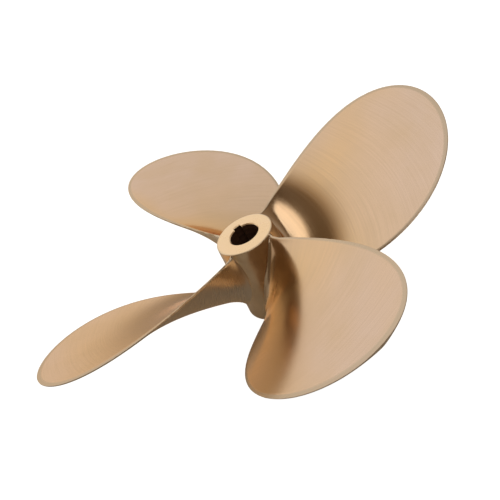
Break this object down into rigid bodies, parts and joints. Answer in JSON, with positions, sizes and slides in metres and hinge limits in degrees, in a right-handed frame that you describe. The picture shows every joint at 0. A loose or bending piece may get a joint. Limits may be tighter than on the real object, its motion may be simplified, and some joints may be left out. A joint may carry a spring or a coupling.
{
  "type": "boat propeller",
  "caption": "Right-hand inboard boat propeller with broad, skewed and raked blades on a tapered, keyed hub, machined and satin-finished bronze.",
  "frame": {"origin": "centre of the hub's forward (large) end, on the shaft axis", "axes": "+Z along the shaft axis, aft, towards the hub's small end; +X along the first blade's reference line at its root"},
  "size_m": [0.3758, 0.3758, 0.084],
  "materials": {
    "hub_bronze": "turned and polished nickel-aluminium bronze",
    "blade_bronze": "satin, fine belt-ground lines across the blade"
  },
  "bodies": {
    "root": {"hub": "hub_bronze", "blade_1": "blade_bronze", "blade_2": "blade_bronze", "blade_3": "blade_bronze", "blade_4": "blade_bronze"}
  },
  "joints": []
}
